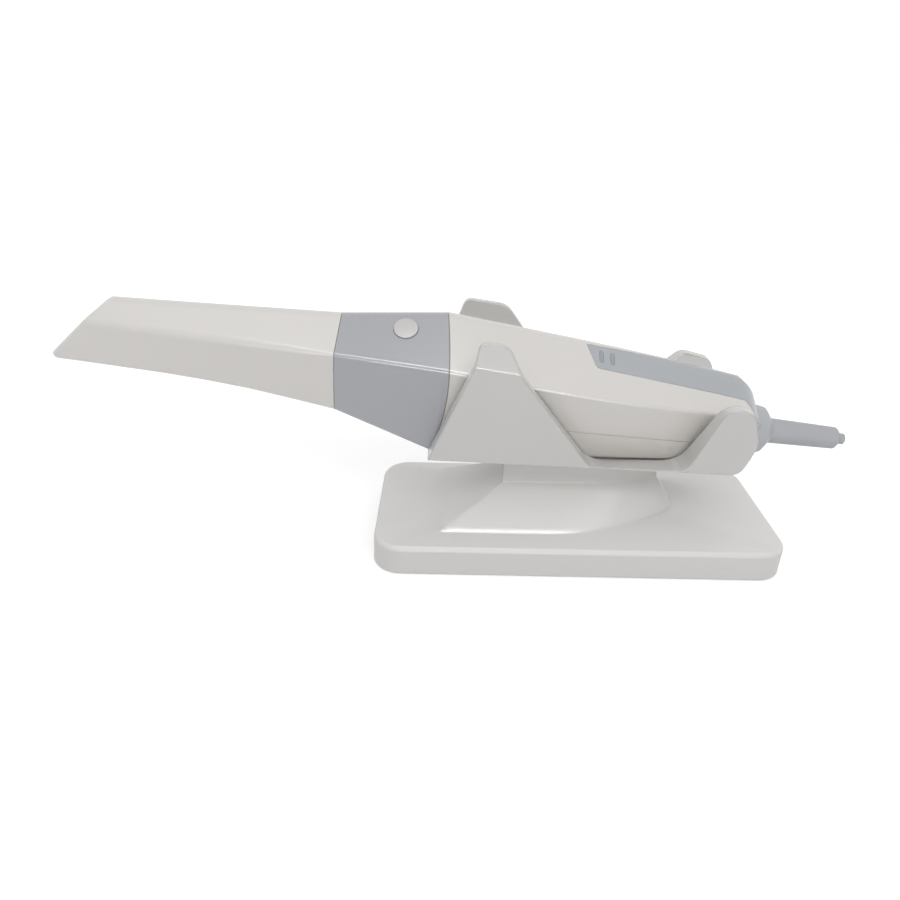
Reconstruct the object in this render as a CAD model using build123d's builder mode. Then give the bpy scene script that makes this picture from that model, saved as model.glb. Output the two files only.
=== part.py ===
from build123d import *
import math
import os

os.makedirs("parts", exist_ok=True)

# An intraoral scanner lying in its desk cradle. Millimetres and degrees, +Z up.
# The origin is the centre of the base's underside; X runs from the scanning tip to the lead's end.
# "Along" is a distance down the handset's axis from the seam behind the grey collar,
# "level" is a height above that axis, and "half" is half a width across it.

# Where the handset lies
rest_x = -53.3
rest_z = 60.9
rest_tilt = 6.0

# The handset's ends and seams, along its axis
tip_front = -146.0
front_seam = -38.5
rear_seam = -0.85
rear_end = 117.3
seam_bulge = 2.25
seam_crown = 8.0
seam_spread = 30.0
housing_seam = -2.2

# The slanted end of the tip, and the rounded end of the body
nose_foot = -140.5
nose_slant = 44.5
nose_round = 1.6
rear_round_ridge = 15.5
rear_round_facet = 13.5
rear_round_side = 9.5
trim_near = 0.1
trim_far = 1.5

# Walls, laps and clearances
housing_wall = 2.4
sleeve_wall = 1.6
lap_depth = 1.2
lap_length = 3.5
seam_gap = 0.14
seat_gap = 0.10
slide_gap = 0.30
press_gap = 0.08

# Corner radii of the handset's section
ridge_radius = 5.0
floor_radius = 3.0
crease_radius = 1.4
tip_crease_radius = 3.0
least_radius = 0.8
station_steps = 2

# Scanning window and mirror in the tip
window_front = -136.0
window_length = 16.0
window_half = 5.6
window_corner = 2.0
mirror_thickness = 1.0

# Optics inside the nose
nose_reach = 45.0
nose_wall = 1.6
nose_seat = 8.5
pane_thickness = 1.2
pane_ledge = 0.8
pane_ledge_length = 1.5
chassis_along = -62.0
chassis_length = 12.0
projector_level = 6.4
projector_radius = 4.0
camera_level = 13.6
camera_half = 4.7
camera_radius = 2.7
barrel_rim = 0.8
barrel_gap = 0.05
barrel_inset = 1.0
lens_recess = 1.2
lens_thickness = 0.6
lens_dome = 0.4
sensor_board_thickness = 1.2
sink_length = 12.0
sink_half = 6.5
sink_height = 11.0
sink_base = 2.0
fin_count = 6
fin_thickness = 1.0

# Scan button in the collar
button_along = -15.4
button_half = 6.8
button_radius = 4.2
button_proud = 0.45
button_dome = 0.25
button_flange = 1.0
button_flange_thickness = 0.8
button_stem_radius = 1.5
button_stem = 0.5
button_travel = 0.5
switch_reserve = 0.06
switch_side = 4.6
switch_height = 1.6
plunger_radius = 1.0
plunger_height = 0.6
button_board_length = 15.6
button_board_width = 7.0
button_board_thickness = 1.0
board_post_radius = 1.1
board_post_half = 6.4

# Grey rear cover with its two tongues, and the lamps in the near one
cover_seam = 108.3
cover_seam_sweep = 4.2
cover_skirt_level = 10.5
tongue_front = 49.2
tongue_slant = 3.4
tongue_half = 9.8
tongue_corner = 2.0
strip_half = 1.9
strip_end = 93.0
lamp_along = 54.4
lamp_pitch = 4.1
lamp_half = 5.5
lamp_length = 4.4
lamp_width = 1.3

# Main board, its plug socket and the screws that close the housing
board_front = 8.0
board_rear = 101.0
board_thickness = 1.6
board_gap = 0.4
chip_height = 1.4
chip_pitch = 20.0
chip_side = 9.0
chip_count = 3
socket_length = 9.0
socket_half = 5.0
socket_height = 5.5
plug_width = 8.0
plug_height = 3.3
screw_front = 16.0
screw_rear = 88.0
screw_radius = 1.0
screw_head_radius = 1.9
screw_head_height = 1.3
screw_head_level = -6.0
screw_grip = 8.0
screw_tip = 0.4
boss_radius = 3.2
drive_radius = 0.7
drive_depth = 0.7

# Lead outlet: gland, strain relief and the sleeve that the lead runs through
gland_radius = 9.9
gland_rim_radius = 8.9
gland_length = 5.1
gland_cone = 3.6
gland_neck = 5.2
gland_flange = 6.0
gland_flange_thickness = 1.8
gland_bore = 4.0
relief_radius = 4.8
relief_end_radius = 4.2
relief_length = 27.5
relief_chamfer = 1.2
relief_flange = 5.2
relief_flange_thickness = 1.6
sleeve_radius = 2.1
sleeve_bore = 1.3
sleeve_stub = 2.6

# Cradle
cradle_front = -8.0
cradle_rear = 121.0
trough_gap = 0.3
trough_wall = 3.4
trough_half = 23.9
wing_wall = 2.6
wing_rise = 4.3
wing_lean = 1.0
wing_crease_radius = 1.5
cradle_foot_half = 15.5
cradle_foot_radius = 6.0
trough_radius = 3.0
front_wing_front = 8.6
front_wing_rear = 20.0
front_wing_level = 28.6
wing_knee_along = 27.2
wing_knee_level = 20.4
wing_corner = 3.5
lip_along = -4.0
dip_front = 58.0
dip_rear = 90.5
dip_rise = 0.9
dip_radius = 9.0
dip_rear_radius = 7.0
rear_wing_front = 93.8
rear_wing_rear = 104.0
rear_wing_level = 16.8
shoulder_along = 109.5
shoulder_level = 12.0
cradle_end = 114.8
cradle_end_level = -2.0
cradle_end_radius = 6.0

# Base, weight, cover, pad and screws
base_length = 157.5
base_width = 64.3
base_edge = 12.1
base_corner = 11.0
base_draft = 2.0
base_edge_radius = 2.0
base_wall = 2.5
base_clearance = 0.5
roof_rise = 3.0
roof_length = 100.0
roof_width = 30.0
foot_left = -56.0
foot_centre = -15.0
foot_right = 43.0
foot_half = 24.5
neck_left = -29.0
neck_centre = -4.0
neck_right = 33.0
neck_half = 8.0
neck_start = 27.0
web_level = 20.0
web_thickness = 2.5
post_radius = 3.6
post_front = -16.0
post_rear = 16.0
post_bore_depth = 8.0
neck_screw_radius = 1.5
neck_screw_head_radius = 2.8
neck_screw_head_height = 1.8
cover_thickness = 2.0
ballast_length = 118.0
ballast_width = 42.0
ballast_height = 4.5
ballast_corner = 4.0
foot_screw_x = 66.0
foot_screw_y = 20.5
foot_screw_radius = 1.3
foot_screw_head_radius = 2.3
foot_screw_head_height = 1.0
foot_screw_grip = 4.5
foot_post_radius = 3.2
pad_length = 108.0
pad_width = 34.0
pad_height = 1.2
pad_corner = 5.0

tilt = math.radians(rest_tilt)
axis_dir = Vector(math.cos(tilt), 0, -math.sin(tilt))
up_dir = Vector(math.sin(tilt), 0, math.cos(tilt))
seam_point = Vector(rest_x, 0, rest_z)
side_view = Plane(origin=seam_point, x_dir=axis_dir, z_dir=(0, -1, 0))
plan_view = Plane(origin=seam_point, x_dir=axis_dir, z_dir=up_dir)
reach = 250.0


def station(along):
    """The plane square to the handset's axis, with X across it and Y up."""
    return Plane(origin=seam_point + axis_dir * along, x_dir=(0, 1, 0), z_dir=axis_dir)


# The handset's outline: each station gives its ridge, crease and floor levels and their half widths
tip_stations = [
    dict(along=tip_front, ridge=20.9, half=8.0, crease=15.0, floor=-1.8, floor_half=6.2, radius=tip_crease_radius),
    dict(along=-100.0, ridge=23.0, half=11.4, crease=15.8, floor=-2.3, floor_half=7.6, radius=tip_crease_radius),
    dict(along=-70.0, ridge=24.5, half=14.1, crease=16.4, floor=-3.9, floor_half=8.8, radius=tip_crease_radius),
    dict(along=front_seam, ridge=26.2, half=17.0, crease=17.0, floor=-7.6, floor_half=10.2, radius=crease_radius),
]
collar_stations = [
    tip_stations[-1],
    dict(along=rear_seam, ridge=31.0, half=21.3, crease=17.5, floor=-19.4, floor_half=12.4, radius=crease_radius),
]
body_stations = [
    collar_stations[-1],
    dict(along=30.0, ridge=28.4, half=21.8, crease=15.6, floor=-17.0, floor_half=12.2, radius=crease_radius),
    dict(along=60.0, ridge=25.8, half=20.4, crease=13.3, floor=-14.7, floor_half=11.4, radius=crease_radius),
    dict(along=98.0, ridge=21.7, half=17.7, crease=11.9, floor=-11.8, floor_half=10.0, radius=crease_radius),
    dict(along=rear_end, ridge=19.2, half=15.6, crease=11.0, floor=-10.4, floor_half=9.0, radius=crease_radius),
]


def smooth_size(stations, along, key):
    """One size at any place, on a smooth curve through the measured stations."""
    last = len(stations) - 1
    index = max(i for i in range(last) if along >= stations[i]["along"])

    def slope(i):
        before, after = stations[max(i - 1, 0)], stations[min(i + 1, last)]
        return (after[key] - before[key]) / (after["along"] - before["along"])

    start, end = stations[index], stations[index + 1]
    span = end["along"] - start["along"]
    share = (along - start["along"]) / span
    ends = start[key] * (1 + 2 * share) * (1 - share) ** 2 + end[key] * share ** 2 * (3 - 2 * share)
    return ends + span * share * (1 - share) * (slope(index) * (1 - share) - slope(index + 1) * share)


def fine_stations(stations):
    """The measured stations and, on smooth curves, the ones between them."""
    fine = []
    for start, end in zip(stations, stations[1:]):
        for step in range(station_steps):
            along = start["along"] + (end["along"] - start["along"]) * step / station_steps
            fine.append({key: smooth_size(stations, along, key) for key in start})
    return fine + [stations[-1]]


def apex_level(size):
    """The level where a section's two upper facets would meet, above its rounded ridge."""
    slope = math.atan2(size["ridge"] - size["crease"], size["half"])
    return size["ridge"] + ridge_radius * (1 / math.cos(slope) - 1)


def facet_profile(size, inset):
    """One five-sided section of the handset, moved inwards by inset."""
    with BuildSketch(station(size["along"])) as profile:
        with BuildLine():
            Polyline(
                (0, apex_level(size)),
                (size["half"], size["crease"]),
                (size["floor_half"], size["floor"]),
                (-size["floor_half"], size["floor"]),
                (-size["half"], size["crease"]),
                close=True,
            )
        make_face()
        if inset > 0:
            offset(amount=-inset, kind=Kind.INTERSECTION, mode=Mode.REPLACE)
        fillet(profile.vertices().group_by(Axis.Y)[-1], ridge_radius - inset)
        if inset < floor_radius - least_radius:
            fillet(profile.vertices().group_by(Axis.Y)[0], floor_radius - inset)
        if inset < crease_radius - least_radius:
            fillet(profile.vertices().sort_by(Axis.X)[0], size["radius"] - inset)
            fillet(profile.vertices().sort_by(Axis.X)[-1], size["radius"] - inset)
    return profile.sketch


def slant_plane(inset):
    """The plane of the tip's slanted end, moved inwards by inset; its Z points out of the tip."""
    slant = math.radians(nose_slant)
    outward = axis_dir * -math.cos(slant) + up_dir * math.sin(slant)
    return Plane(origin=seam_point + axis_dir * nose_foot - outward * inset, x_dir=(0, 1, 0), z_dir=outward)


def rounded_end(up, last_height, third_height, radius, inset):
    """Everything under one side of the body, with the corner between that side and the end rounded."""
    third = body_stations[2]["along"]
    with BuildPart() as block:
        with BuildSketch(Plane(origin=seam_point, x_dir=axis_dir, z_dir=axis_dir.cross(up))) as outline:
            with BuildLine():
                Polyline(
                    (rear_end - inset, -reach),
                    (rear_end - inset, last_height + trim_near - inset),
                    (third, third_height + trim_far - inset),
                    (third, reach),
                    (-reach, reach),
                    (-reach, -reach),
                    close=True,
                )
            make_face()
            fillet(outline.vertices().group_by(Axis.X)[-1].sort_by(Axis.Y)[-1], radius - inset)
        extrude(amount=reach, both=True)
    return block.part


def handset_form(inset):
    """The whole handset as one solid, moved inwards by inset all round."""
    last = body_stations[-1]
    third = body_stations[2]
    pitch = math.atan2(last["ridge"] - last["crease"], last["half"])
    facet_height = apex_level(last) * math.cos(pitch)
    third_facet_height = apex_level(third) * math.cos(pitch)
    with BuildPart() as form:
        loft([facet_profile(size, inset) for size in fine_stations(tip_stations)], ruled=True)
        loft([facet_profile(size, inset) for size in collar_stations], ruled=True)
        loft([facet_profile(size, inset) for size in fine_stations(body_stations)], ruled=True)
        split(bisect_by=slant_plane(inset), keep=Keep.BOTTOM)
        add(rounded_end(up_dir, last["ridge"], third["ridge"], rear_round_ridge, inset), mode=Mode.INTERSECT)
        for hand in (-1, 1):
            outward = Vector(0, hand, 0)
            facing = outward * math.sin(pitch) + up_dir * math.cos(pitch)
            add(rounded_end(outward, last["half"], third["half"], rear_round_side, inset), mode=Mode.INTERSECT)
            add(
                rounded_end(facing, facet_height, third_facet_height, rear_round_facet, inset),
                mode=Mode.INTERSECT,
            )
    return form.part


def slab(start, end):
    """Everything between two stations of the handset's axis."""
    with BuildPart() as block:
        with BuildSketch(station(start)):
            Rectangle(reach, reach)
        extrude(amount=end - start)
    return block.part


def ahead_of_rear_seam(shift):
    """Everything ahead of the bulging seam behind the collar, moved back by shift."""
    edge = rear_seam - seam_bulge + shift
    crown = rear_seam + seam_bulge + shift
    with BuildPart() as block:
        with BuildSketch(side_view):
            with BuildLine():
                ThreePointArc(
                    (edge, seam_crown + seam_spread),
                    (crown, seam_crown),
                    (edge, seam_crown - seam_spread),
                )
                Polyline(
                    (edge, seam_crown - seam_spread),
                    (edge, -reach),
                    (-reach, -reach),
                    (-reach, reach),
                    (edge, reach),
                    (edge, seam_crown + seam_spread),
                )
            make_face()
        extrude(amount=reach, both=True)
    return block.part


def dome_middle(radius, height):
    """A point halfway along a shallow dome: its distance from the axis and its rise from the rim."""
    sphere = (radius ** 2 + height ** 2) / (2 * height)
    half_turn = math.asin(radius / sphere) / 2
    return sphere * math.sin(half_turn), height - sphere * (1 - math.cos(half_turn))


def form_between(form, start, end):
    """The stretch of a handset form between two stations."""
    with BuildPart() as stretch:
        add(form)
        add(slab(start, end), mode=Mode.INTERSECT)
    return stretch.part


def turned_piece(corners):
    """A piece turned on the handset's axis, from corners given as along and radius."""
    with BuildPart() as turned:
        with BuildSketch(side_view):
            with BuildLine():
                Polyline(*corners, close=True)
            make_face()
        revolve(axis=Axis(seam_point, axis_dir))
    return turned.part


def upright_pin(plane, head_radius, head_height, radius, length):
    """A screw from its seat plane: its head hangs below the plane and its shank rises from it."""
    with BuildPart() as pin:
        with BuildSketch(plane):
            Circle(head_radius)
        extrude(amount=-head_height)
        with BuildSketch(plane):
            Circle(radius)
        extrude(amount=length)
        chamfer(pin.edges().sort_by(Axis(plane.origin, plane.z_dir))[-1], screw_tip)
        with BuildSketch(plane.offset(-head_height)):
            RegularPolygon(drive_radius, 6)
        extrude(amount=drive_depth, mode=Mode.SUBTRACT)
    return pin.part


nose_inset = sleeve_wall + slide_gap
bore_inset = nose_inset + nose_wall
outer_form = handset_form(0)
lap_form = handset_form(lap_depth)
lap_seat_form = handset_form(lap_depth + seat_gap)
cavity_form = handset_form(housing_wall)
sleeve_bore_form = handset_form(sleeve_wall)
nose_form = handset_form(nose_inset)
nose_seat_form = handset_form(housing_wall + seat_gap)
nose_bore_form = handset_form(bore_inset)
ledge_form = handset_form(bore_inset + pane_ledge)
core_form = handset_form(bore_inset + barrel_gap)
board_form = handset_form(housing_wall + board_gap)

# Tip sleeve: the removable white mouthpiece, open at its rear and at the scanning window
with BuildPart() as tip_sleeve:
    add(outer_form)
    add(slab(-reach, front_seam - seam_gap / 2), mode=Mode.INTERSECT)
    slant_face = tip_sleeve.faces().sort_by(Axis(seam_point, slant_plane(0).z_dir))[-1]
    fillet(slant_face.edges(), nose_round)
    add(sleeve_bore_form, mode=Mode.SUBTRACT)
    with BuildSketch(plan_view):
        with Locations((window_front + window_length / 2, 0)):
            RectangleRounded(window_length, window_half * 2, window_corner)
    extrude(amount=-reach / 4, mode=Mode.SUBTRACT)
tip_sleeve.part.label = "tip_sleeve"
export_step(tip_sleeve.part, "parts/tip_sleeve.step")

# Tip mirror: a thin plate on the slanted inside wall, over the window
with BuildPart() as tip_mirror:
    add(nose_form)
    split(bisect_by=slant_plane(nose_inset + mirror_thickness), keep=Keep.TOP)
tip_mirror.part.label = "tip_mirror"
export_step(tip_mirror.part, "parts/tip_mirror.step")

# Optics nose: the fixed barrel that the sleeve slides over, seated inside the collar
nose_tip = front_seam - nose_reach
nose_rear = front_seam + nose_seat
pane_rear = nose_tip + pane_thickness
ledge_rear = pane_rear + pane_ledge_length
with BuildPart() as optics_nose:
    add(form_between(nose_form, nose_tip, front_seam))
    add(form_between(nose_seat_form, front_seam, nose_rear))
    add(form_between(nose_bore_form, nose_tip, pane_rear), mode=Mode.SUBTRACT)
    add(form_between(ledge_form, pane_rear, ledge_rear), mode=Mode.SUBTRACT)
    add(form_between(nose_bore_form, ledge_rear, nose_rear), mode=Mode.SUBTRACT)
optics_nose.part.label = "optics_nose"
export_step(optics_nose.part, "parts/optics_nose.step")

# Nose window: the glass pane in the mouth of the nose
with BuildPart() as nose_window:
    add(form_between(core_form, nose_tip, pane_rear - barrel_gap))
nose_window.part.label = "nose_window"
export_step(nose_window.part, "parts/nose_window.step")

# Optical chassis: the block in the nose that holds the projector and both cameras
barrel_spots = [(0, projector_level), (-camera_half, camera_level), (camera_half, camera_level)]
barrel_radii = [projector_radius, camera_radius, camera_radius]
barrel_front = ledge_rear + barrel_inset
chassis_rear = chassis_along + chassis_length
with BuildPart() as optical_chassis:
    add(form_between(core_form, chassis_along, chassis_rear))
    with BuildSketch(station(chassis_along)):
        for spot, radius in zip(barrel_spots, barrel_radii):
            with Locations(spot):
                Circle(radius + barrel_gap)
    extrude(amount=chassis_length, mode=Mode.SUBTRACT)
optical_chassis.part.label = "optical_chassis"
export_step(optical_chassis.part, "parts/optical_chassis.step")


def barrel(spot, radius):
    """A lens barrel along the axis, with a recess in its front for the lens."""
    with BuildPart() as tube:
        with BuildSketch(station(barrel_front)):
            with Locations(spot):
                Circle(radius)
        extrude(amount=chassis_rear - barrel_front)
        with BuildSketch(station(barrel_front)):
            with Locations(spot):
                Circle(radius - barrel_rim)
        extrude(amount=lens_recess, mode=Mode.SUBTRACT)
    return tube.part


def lens(spot, radius):
    """A domed lens that sits on the floor of a barrel's recess."""
    rim = radius - barrel_rim - barrel_gap
    back = station(barrel_front + lens_recess)
    centre = back.from_local_coords(Vector(spot[0], spot[1], 0))
    with BuildPart() as glass:
        with BuildSketch(Plane(origin=centre, x_dir=axis_dir, z_dir=(0, -1, 0))):
            with BuildLine():
                Polyline((-lens_thickness - lens_dome, 0), (0, 0), (0, rim), (-lens_thickness, rim))
                middle, rise = dome_middle(rim, lens_dome)
                ThreePointArc((-lens_thickness, rim), (-lens_thickness - rise, middle), (-lens_thickness - lens_dome, 0))
            make_face()
        revolve(axis=Axis(centre, axis_dir))
    return glass.part


# Projector barrel, camera barrels and the lenses in their mouths
with BuildPart() as projector_barrel:
    add(barrel(barrel_spots[0], projector_radius))
projector_barrel.part.label = "projector_barrel"
export_step(projector_barrel.part, "parts/projector_barrel.step")

with BuildPart() as camera_barrels:
    add(barrel(barrel_spots[1], camera_radius))
    add(barrel(barrel_spots[2], camera_radius))
camera_barrels.part.label = "camera_barrels"
export_step(camera_barrels.part, "parts/camera_barrels.step")

with BuildPart() as barrel_lenses:
    for spot, radius in zip(barrel_spots, barrel_radii):
        add(lens(spot, radius))
barrel_lenses.part.label = "barrel_lenses"
export_step(barrel_lenses.part, "parts/barrel_lenses.step")

# Sensor board: the circuit board across the nose behind the barrels
sensor_front = chassis_rear + barrel_gap
sensor_rear = sensor_front + sensor_board_thickness
with BuildPart() as sensor_board:
    add(form_between(core_form, sensor_front, sensor_rear))
sensor_board.part.label = "sensor_board"
export_step(sensor_board.part, "parts/sensor_board.step")

# Heat sink: a finned block behind the sensor board, in line with the projector
with BuildPart() as heat_sink:
    with BuildSketch(station(sensor_rear + barrel_gap)):
        with Locations((0, projector_level)):
            Rectangle(sink_half * 2, sink_height)
    extrude(amount=sink_base)
    fin_pitch = (sink_half * 2 - fin_thickness) / (fin_count - 1)
    with BuildSketch(station(sensor_rear + barrel_gap)):
        with Locations((0, projector_level)):
            with GridLocations(fin_pitch, 1, fin_count, 1):
                Rectangle(fin_thickness, sink_height)
    extrude(amount=sink_length)
heat_sink.part.label = "heat_sink"
export_step(heat_sink.part, "parts/heat_sink.step")


def collar_facet(along, across):
    """The plane on the collar's upper facet, its Z outwards and its X down the handset."""
    front, rear = collar_stations

    def surface_point(at, side):
        share = (at - front["along"]) / (rear["along"] - front["along"])
        apex = apex_level(front) + share * (apex_level(rear) - apex_level(front))
        crease = front["crease"] + share * (rear["crease"] - front["crease"])
        half = front["half"] + share * (rear["half"] - front["half"])
        level = apex - (apex - crease) * abs(side) / half
        return seam_point + axis_dir * at + Vector(0, side, 0) + up_dir * level

    here = surface_point(along, across)
    lengthwise = surface_point(along + 1, across) - here
    downhill = surface_point(along, across - 1) - here
    return Plane(origin=here, x_dir=lengthwise, z_dir=downhill.cross(lengthwise))


# Depths of the scan button's stack, measured from the collar's facet
button_face = collar_facet(button_along, -button_half)
button_axis = Axis(button_face.origin, button_face.z_dir)
button_profile = Plane(origin=button_face.origin, x_dir=button_face.x_dir, z_dir=-button_face.y_dir)
flange_top = -housing_wall - seat_gap
flange_bottom = flange_top - button_flange_thickness
stem_bottom = flange_bottom - button_stem
plunger_top = stem_bottom - button_travel - switch_reserve
switch_top = plunger_top - plunger_height
board_top = switch_top - switch_height

# Collar: the grey ring between tip and body, with the button's hole and two board posts inside
with BuildPart() as collar_lap:
    add(lap_form)
    add(ahead_of_rear_seam(-lap_length), mode=Mode.SUBTRACT)
with BuildPart() as collar:
    add(outer_form)
    add(slab(front_seam + seam_gap / 2, rear_seam + lap_length), mode=Mode.INTERSECT)
    add(ahead_of_rear_seam(-seam_gap / 2), mode=Mode.INTERSECT)
    add(cavity_form, mode=Mode.SUBTRACT)
    with BuildSketch(button_face.offset(board_top)):
        with GridLocations(board_post_half * 2, 1, 2, 1):
            Circle(board_post_radius)
    extrude(amount=-housing_wall / 2 - board_top)
    add(collar_lap.part, mode=Mode.SUBTRACT)
    with BuildSketch(button_face):
        Circle(button_radius + press_gap)
    extrude(amount=housing_wall * 2, both=True, mode=Mode.SUBTRACT)
collar.part.label = "collar"
export_step(collar.part, "parts/collar.step")

# Scan button: a round cap with a flange behind the collar's wall and a short stem
with BuildPart() as scan_button:
    with BuildSketch(button_profile):
        with BuildLine():
            Polyline(
                (0, button_proud + button_dome),
                (0, stem_bottom),
                (button_stem_radius, stem_bottom),
                (button_stem_radius, flange_bottom),
                (button_radius + button_flange, flange_bottom),
                (button_radius + button_flange, flange_top),
                (button_radius, flange_top),
                (button_radius, button_proud),
            )
            middle, rise = dome_middle(button_radius, button_dome)
            ThreePointArc((button_radius, button_proud), (middle, button_proud + rise), (0, button_proud + button_dome))
        make_face()
    revolve(axis=button_axis)
scan_button.part.label = "scan_button"
export_step(scan_button.part, "parts/scan_button.step")

# Button switch and the small board that carries it on the collar's posts
with BuildPart() as button_switch:
    with BuildSketch(button_face.offset(board_top)):
        Rectangle(switch_side, switch_side)
    extrude(amount=switch_height)
    with BuildSketch(button_face.offset(switch_top)):
        Circle(plunger_radius)
    extrude(amount=plunger_height)
button_switch.part.label = "button_switch"
export_step(button_switch.part, "parts/button_switch.step")

with BuildPart() as button_board:
    with BuildSketch(button_face.offset(board_top)):
        Rectangle(button_board_length, button_board_width)
    extrude(amount=-button_board_thickness)
button_board.part.label = "button_board"
export_step(button_board.part, "parts/button_board.step")


def cover_zone(grow):
    """What the grey rear cover takes: the rear end and two tongues, wider by grow all round."""
    with BuildPart() as zone:
        with BuildSketch(plan_view.offset(cover_skirt_level)) as outline:
            with BuildLine() as edge:
                Polyline(
                    (strip_end, 0),
                    (tongue_front, strip_half),
                    (tongue_front + tongue_slant, tongue_half),
                    (cover_seam, tongue_half),
                    (cover_seam + cover_seam_sweep, body_stations[-1]["half"]),
                    (cover_seam + cover_seam_sweep, reach / 2),
                    (reach, reach / 2),
                    (reach, 0),
                )
                mirror(about=Plane.XZ)
            make_face()
            tongue_tips = outline.vertices().filter_by(
                lambda v: abs(v.X - tongue_front - tongue_slant) < tongue_corner / 2
            )
            fillet(tongue_tips, tongue_corner)
            if grow > 0:
                offset(amount=grow, mode=Mode.REPLACE)
        extrude(amount=reach)
        add(slab(cover_seam + cover_seam_sweep - grow, reach))
    return zone.part


def gland_hole(radius):
    """The hole on the axis through the rear wall."""
    return turned_piece([(cover_seam, 0), (cover_seam, radius), (reach, radius), (reach, 0)])


# Rear cover: one grey moulding, the rear end with two tongues that lie in the upper facets
with BuildPart() as rear_cover:
    add(outer_form)
    add(cover_zone(0), mode=Mode.INTERSECT)
    add(lap_form, mode=Mode.SUBTRACT)
    add(gland_hole(gland_radius + press_gap), mode=Mode.SUBTRACT)
    with BuildSketch(plan_view):
        for number in range(2):
            with Locations((lamp_along + number * lamp_pitch, -lamp_half)):
                SlotOverall(lamp_length + press_gap * 2, lamp_width + press_gap * 2, rotation=90)
    extrude(amount=reach, mode=Mode.SUBTRACT)
rear_cover.part.label = "rear_cover"
export_step(rear_cover.part, "parts/rear_cover.step")

# Indicator lamps: two light windows flush with the near tongue
with BuildPart() as indicator_lamps:
    with BuildSketch(plan_view):
        for number in range(2):
            with Locations((lamp_along + number * lamp_pitch, -lamp_half)):
                SlotOverall(lamp_length, lamp_width, rotation=90)
    extrude(amount=reach)
    add(outer_form, mode=Mode.INTERSECT)
    add(lap_form, mode=Mode.SUBTRACT)
indicator_lamps.part.label = "indicator_lamps"
export_step(indicator_lamps.part, "parts/indicator_lamps.step")

# Body housing, before it is parted: the white wall with its lap under collar and cover
with BuildPart() as lap_skin:
    add(lap_seat_form)
    add(ahead_of_rear_seam(seat_gap - lap_length), mode=Mode.SUBTRACT)
with BuildPart() as housing_wall_shell:
    add(outer_form)
    add(ahead_of_rear_seam(seam_gap / 2), mode=Mode.SUBTRACT)
    add(cover_zone(seam_gap), mode=Mode.SUBTRACT)
    add(lap_skin.part)
    add(cavity_form, mode=Mode.SUBTRACT)
    add(gland_hole(gland_neck + press_gap), mode=Mode.SUBTRACT)

# Level stack at the two housing screws
board_seat = housing_seam + barrel_gap
board_face = board_seat + board_thickness
screw_spots = [(screw_front, 0), (screw_rear, 0)]


def boss_columns(start, end):
    """The two screw bosses between two levels, cut off where the wall begins."""
    with BuildPart() as columns:
        with BuildSketch(plan_view.offset(start)):
            with Locations(*screw_spots):
                Circle(boss_radius)
        extrude(amount=end - start)
        add(lap_seat_form, mode=Mode.INTERSECT)
    return columns.part


# Upper housing: the white roof of the body, its bosses pressing on the main board
with BuildPart() as upper_housing:
    add(housing_wall_shell.part)
    split(bisect_by=plan_view.offset(housing_seam + seam_gap / 2), keep=Keep.TOP)
    add(boss_columns(board_face + barrel_gap, reach / 4))
    with BuildSketch(plan_view.offset(board_face)):
        with Locations(*screw_spots):
            Circle(screw_radius + barrel_gap)
    extrude(amount=screw_grip + seat_gap * 2, mode=Mode.SUBTRACT)
upper_housing.part.label = "upper_housing"
export_step(upper_housing.part, "parts/upper_housing.step")

# Lower housing: the white floor of the body, its bosses bored from below for the screws
with BuildPart() as lower_housing:
    add(housing_wall_shell.part)
    split(bisect_by=plan_view.offset(housing_seam - seam_gap / 2), keep=Keep.BOTTOM)
    add(boss_columns(-reach / 4, housing_seam))
    with BuildSketch(plan_view.offset(screw_head_level)):
        with Locations(*screw_spots):
            Circle(screw_head_radius + seat_gap)
    extrude(amount=-reach / 4, mode=Mode.SUBTRACT)
    with BuildSketch(plan_view.offset(screw_head_level)):
        with Locations(*screw_spots):
            Circle(screw_radius + seat_gap)
    extrude(amount=housing_seam - screw_head_level, mode=Mode.SUBTRACT)
lower_housing.part.label = "lower_housing"
export_step(lower_housing.part, "parts/lower_housing.step")

# Housing screws: two long screws up through the lower bosses and the board
with BuildPart() as housing_screws:
    for spot in screw_spots:
        seat = plan_view.offset(screw_head_level)
        seat.origin = seat.from_local_coords(Vector(spot[0], spot[1], 0))
        shank = board_face + screw_grip - screw_head_level
        add(upright_pin(seat, screw_head_radius, screw_head_height, screw_radius, shank))
housing_screws.part.label = "housing_screws"
export_step(housing_screws.part, "parts/housing_screws.step")

# Main board: follows the body's inside, clamped between the bosses, with its larger chips
with BuildPart() as main_board:
    add(form_between(board_form, board_front, board_rear))
    with BuildSketch(plan_view.offset(board_seat)):
        Rectangle(reach * 2, reach)
    extrude(amount=board_thickness, mode=Mode.INTERSECT)
    with BuildSketch(plan_view.offset(board_seat)):
        with Locations(*screw_spots):
            Circle(screw_radius + seat_gap)
    extrude(amount=board_thickness, mode=Mode.SUBTRACT)
    with BuildSketch(plan_view.offset(board_face)):
        for number in range(chip_count):
            with Locations(((screw_front + screw_rear) / 2 + (number - 1) * chip_pitch, 0)):
                Rectangle(chip_side, chip_side)
    extrude(amount=chip_height)
main_board.part.label = "main_board"
export_step(main_board.part, "parts/main_board.step")

# Cable socket: the plug housing at the main board's rear edge
with BuildPart() as cable_socket:
    with BuildSketch(plan_view.offset(board_face)):
        with Locations((board_rear - socket_length / 2, 0)):
            Rectangle(socket_length, socket_half * 2)
    extrude(amount=socket_height)
    with BuildSketch(station(board_rear)):
        with Locations((0, board_face + socket_height / 2)):
            Rectangle(plug_width, plug_height)
    extrude(amount=-socket_length / 2, mode=Mode.SUBTRACT)
cable_socket.part.label = "cable_socket"
export_step(cable_socket.part, "parts/cable_socket.step")

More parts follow.
